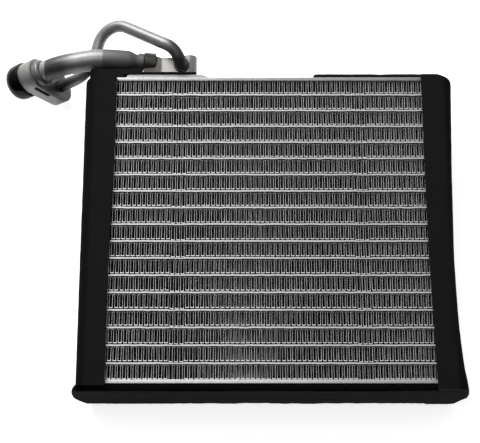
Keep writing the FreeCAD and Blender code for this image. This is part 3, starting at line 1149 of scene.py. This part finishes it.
def section(out, lap):
    """The whole outer line of a wrap, from the front flap's edge to the rear flap's edge."""
    half = half_section(out, lap)
    straight = wrap_depth - 2 * WRAP_ROUND
    side = [(out, WRAP_ROUND + straight * k / SIDE_STEPS) for k in range(1, SIDE_STEPS)]
    rear = [(x, wrap_depth - depth) for x, depth in reversed(half)]
    return half + side + rear


# %% Wraps
WRAP_ROWS = 100
ROW_CROWDING = 0.9
WRAP_SKIN = 0.35 * MM
EDGE_ROUND = 0.8 * MM


def corner_cut(height, top, corner):
    """How much the rounded top corner takes off the width."""
    above = max(0.0, height - (top - corner))
    return corner - math.sqrt(max(0.0, corner ** 2 - above ** 2))


def wrap(name, side, outline, corner):
    """A foam sheet folded round the tank on one side, with its rows closer together near the top."""
    bottom, top = outline[0][0], outline[-1][0]
    columns = len(section(0, 0)) - 1
    bpy.ops.mesh.primitive_grid_add(x_subdivisions=columns, y_subdivisions=WRAP_ROWS, size=1)
    piece = named(name)
    folds = piece.vertex_groups.new(name="flaps")
    for point in piece.data.vertices:
        column = round((point.co.x + 0.5) * columns)
        share = point.co.y + 0.5
        height = bottom + (top - bottom) * share ** ROW_CROWDING
        out, lap = smooth_width(outline, height)
        out -= corner_cut(height, top, corner) * MM
        x, depth = section(out, lap)[column]
        point.co = (side * (TUBE_END + x), height * MM, wrap_depth - depth)
        on_side = WRAP_ROUND / 2 < depth < wrap_depth - WRAP_ROUND / 2
        folds.add([point.index], 0.0 if on_side else 1.0, "REPLACE")
    piece.data.update()
    if piece.data.polygons[0].normal.z * (piece.data.polygons[0].center.z - FLAP) < 0:
        choose(piece, "FACE", lambda face: True)
        bpy.ops.mesh.flip_normals()
    leave(piece)
    apply(piece, "SOLIDIFY", thickness=FLAP, offset=-1, vertex_group="flaps",
          thickness_vertex_group=SIDE / FLAP, use_even_offset=False)
    soften(piece, EDGE_ROUND, 2, angle=60)
    apply(piece, "SUBSURF", levels=1, render_levels=1)
    foam_skin(piece, WRAP_SKIN)
    return piece


# %% Both wraps
LEFT_CORNER = 3
RIGHT_CORNER = 6.5
for name, side, outline, corner in (("left_foam", -1, LEFT_WRAP, LEFT_CORNER),
                                    ("right_foam", 1, RIGHT_WRAP, RIGHT_CORNER)):
    foam_done(wrap(name, side, outline, corner), foam_finish, name + "_wrap")

# %% [markdown]
# ## Foam strips and pad
# The strips and the pad are thick foam, cut by knife. Each starts as a block with bevelled corners. Remesh
# then gives it an even skin of small faces, which the clouds can push about, and Smooth takes the hard
# edges off, as a knife does when it drags the foam along. The bottom strip's ends bulge where it turns up.

# %% Strips
END_REACH = 20 * MM
STRIP_FACE = 1.2 * MM
SECOND_SKIN = 1.5
BOTTOM_CORNER = 2 * MM
BOTTOM_SKIN = 0.7 * MM
BOTTOM_BULGE = 5.5 * MM
TOP_CORNER = 1.5 * MM
TOP_SKIN = 0.4 * MM
TOP_SWELL = 1.6 * MM


def even_mesh(piece, voxel):
    """Gives a solid an even, slightly rounded skin of small faces."""
    apply(piece, "REMESH", mode="VOXEL", voxel_size=voxel, use_smooth_shade=True)
    apply(piece, "SMOOTH", factor=0.5, iterations=4)


def strip(name, node, finish, corner, depth, swell=0, bulge=0):
    """A flat strip, a little swollen upwards, with ends that bulge in the middle."""
    low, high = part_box(node)
    piece = block(name, low, high + Vector((0, swell, 0)))
    choose(piece, "EDGE", lambda edge: runs_along(edge, "y"))
    bpy.ops.mesh.bevel(offset=corner, segments=6)
    leave(piece)
    even_mesh(piece, STRIP_FACE)
    for point in piece.data.vertices:
        end = max(0.0, (abs(point.co.x) - high.x + END_REACH) / END_REACH)
        across = 2 * (point.co.z - low.z) / (high.z - low.z) - 1
        point.co.x += math.copysign(bulge * min(1.0, end) * (1 - across ** 2), point.co.x)
    foam_skin(piece, depth, FINE_CLOUDS)
    foam_skin(piece, depth * SECOND_SKIN, WIDE_CLOUDS)
    foam_done(piece, finish, node)


strip("bottom_foam", "bottom_foam_strip", cut_and_shaded_finish, BOTTOM_CORNER, BOTTOM_SKIN, bulge=BOTTOM_BULGE)
strip("top_foam", "top_foam_strip", foam_finish, TOP_CORNER, TOP_SKIN, swell=TOP_SWELL)

# %% Pad
PAD_GAP = 0.3 * MM
PAD_BULGE = 5.5 * MM
PAD_SWELL = 2.3 * MM
PAD_ROUND = 3 * MM
PAD_FACE = 0.6 * MM
PAD_SKIN = 0.2 * MM


def pad():
    """A block that climbs onto the passage by a step, with a thin lip in front of the pipe block."""
    low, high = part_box("top_foam_pad")
    passage_low, passage_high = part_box("passage_cover")
    right = suction_port.x - PAD_GAP
    piece = block("pad_foam", low - Vector((PAD_BULGE, 0, 0)), (right, high.y + PAD_SWELL, high.z))
    choose(piece, "EDGE", lambda edge: middle(edge).y > high.y - MM and middle(edge).x < low.x)
    bpy.ops.mesh.bevel(offset=PAD_ROUND, segments=4)
    leave(piece)
    merge(piece, block("step", (passage_low.x - PAD_GAP, low.y - MM, low.z - MM),
                       (right + MM, passage_high.y, high.z + MM)), "DIFFERENCE")
    merge(piece, block("pad_lip", (right - MM, passage_high.y + PAD_GAP / 2, BLOCK_FRONT + PAD_GAP), high))
    even_mesh(piece, PAD_FACE)
    foam_skin(piece, PAD_SKIN)
    return piece


foam_done(pad(), foam_finish, "top_foam_pad")

# %% [markdown]
# ## Stage, camera and light
# The photograph was taken from above the lower edge, about 72 degrees above the level of the core's face.
# A large soft lamp stands beyond the pipes, so each tube throws a thin shadow on the fins below it, and a
# weaker one hangs above the core. The world is dark on the near side, which gives the pipes their dark
# bellies. The floor is white to the camera and to reflections, and still takes a soft shadow.

# %% Camera
CAMERA_PLACE = place(-21.4, -250, 861)
CAMERA_TILT = math.radians(17.5)
FOCAL_PIXELS = 1176
PHOTO_WIDTH = 480
bpy.ops.object.camera_add(location=CAMERA_PLACE, rotation=(CAMERA_TILT, 0, 0))
camera = bpy.context.active_object
camera.data.lens = FOCAL_PIXELS / PHOTO_WIDTH * camera.data.sensor_width
bpy.context.scene.camera = camera


# %% Floor
FLOOR_GLOW = 0.78
FLOOR_SIZE = 12


def floor_white():
    """A pale floor that the camera and reflections see as white, with the soft shadow kept."""
    finish = Finish("floor_white", base_color=grey(0.8), roughness=0.9, specular_ior_level=0.0,
                    emission_strength=FLOOR_GLOW)
    seen = sum(finish.node("ShaderNodeLightPath", output=ray)
               for ray in ("Is Camera Ray", "Is Glossy Ray", "Is Transmission Ray"))
    finish.give("Emission Color", finish.blend(seen, grey(0.0), grey(1.0)))
    return finish


bpy.ops.mesh.primitive_plane_add(size=FLOOR_SIZE, location=(0, 0, -0.2 * MM))
floor = named("floor")
floor.data.materials.append(floor_white().material)


# %% Lamps
def lamp(name, centre, power, size):
    """A square lamp that looks at the middle of the core."""
    bpy.ops.object.light_add(type="AREA", location=centre)
    made = bpy.context.active_object
    made.name = name
    made.data.energy = power
    made.data.size = size
    made.rotation_euler = (-Vector(centre)).to_track_quat("-Z", "Y").to_euler()
    print("lamp:", name, power, "W")


lamp("beyond", (-0.53, 0.98, 0.84), 16, 0.8)
lamp("above", (-0.3, 0.1, 1.6), 4, 0.7)


# %% World
WORLD_STOPS = ((0.0, 0.03), (0.3, 0.08), (0.5, 0.35), (0.8, 0.6), (1.0, 0.6))


def world():
    """Soft light that is bright beyond the pipes and dark on the near side."""
    made = bpy.data.worlds.new("studio")
    bpy.context.scene.world = made
    made.use_nodes = True
    sky = Network(made.node_tree)
    direction = sky.node("ShaderNodeTexCoord", output="Generated")
    beyond = sky.node("ShaderNodeSeparateXYZ", None, {0: direction}, output="Y")
    level = sky.node("ShaderNodeValToRGB", {"stops": WORLD_STOPS}, {"Fac": beyond * 0.5 + 0.5})
    seen = sky.node("ShaderNodeLightPath", output="Is Camera Ray")
    sky.feed(sky.tree.nodes["Background"].inputs["Color"], sky.blend(seen, level, grey(1.0)))


world()
bpy.context.scene.view_settings.view_transform = "Standard"
print("seen through", bpy.context.scene.view_settings.view_transform)
